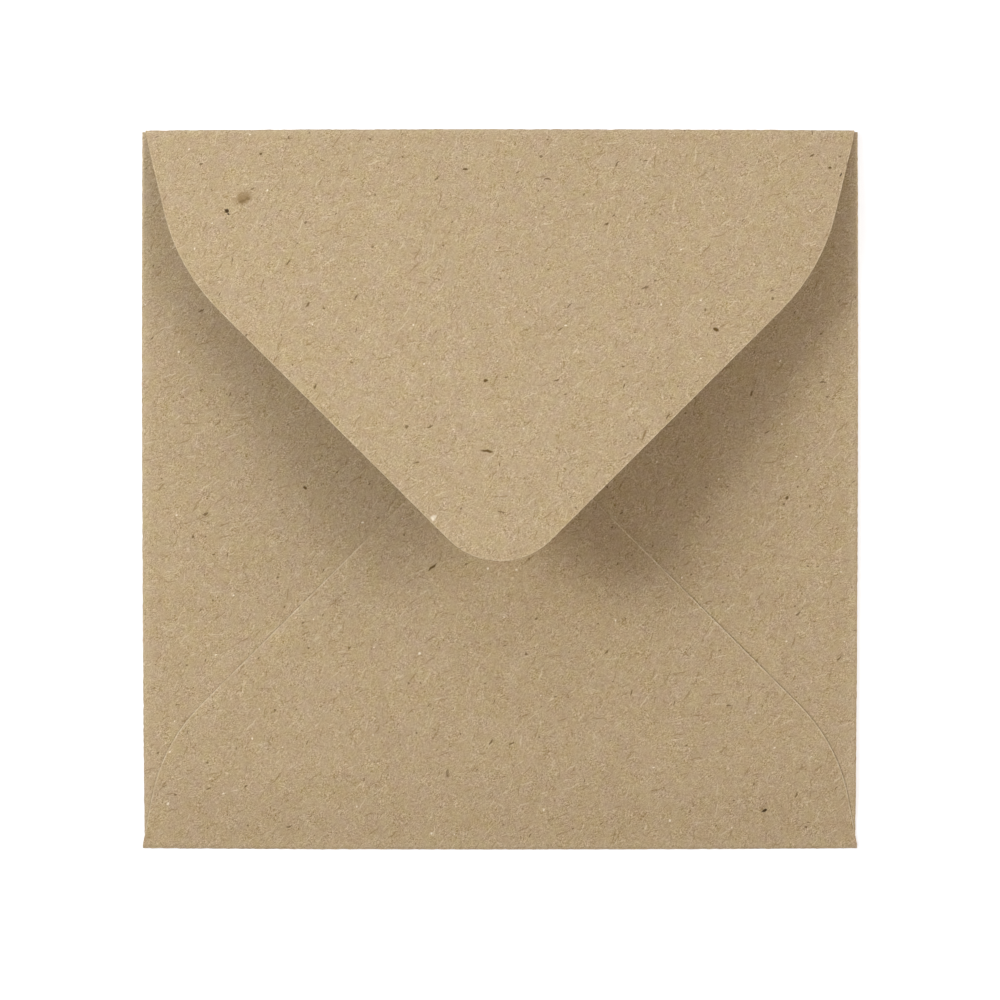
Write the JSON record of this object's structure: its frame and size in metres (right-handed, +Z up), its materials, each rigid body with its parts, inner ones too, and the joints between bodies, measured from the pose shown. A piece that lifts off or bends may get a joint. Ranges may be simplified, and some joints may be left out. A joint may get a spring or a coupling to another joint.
{
  "type": "square envelope",
  "caption": "Square kraft paper envelope lying on its front, with glued side and bottom flaps and a rounded pointed closure flap that has sprung partly open.",
  "frame": {"origin": "under the middle of the envelope, on the surface that its front panel lies on", "axes": "+Z up out of the flap side, +Y towards the closure flap's crease, +X along that crease to the right"},
  "size_m": [0.155, 0.1554, 0.0283],
  "materials": {
    "kraft_paper": "matt, uncoated, fibrous",
    "seam_glue": "dried adhesive film",
    "flap_gum": "dry gum with a dull sheen"
  },
  "bodies": {
    "pocket": {"front_panel": "kraft_paper", "left_side_fold": "kraft_paper", "left_side_flap": "kraft_paper", "right_side_fold": "kraft_paper", "right_side_flap": "kraft_paper", "bottom_fold": "kraft_paper", "bottom_flap": "kraft_paper", "closure_fold": "kraft_paper", "left_seam_glue": "seam_glue", "right_seam_glue": "seam_glue"},
    "flap": {"closure_flap": "kraft_paper", "flap_gum": "flap_gum"}
  },
  "joints": [
    {"name": "closure_crease", "type": "hinge", "parent": "pocket", "child": "flap", "pos_m": [0, 0.07678, 0.00097], "axis": [-1, 0, 0], "range_deg": [-16, 164], "stiffness_Nm_per_rad": 0.008, "springref_deg": 3.15, "deforming": ["closure_fold"]}
  ]
}
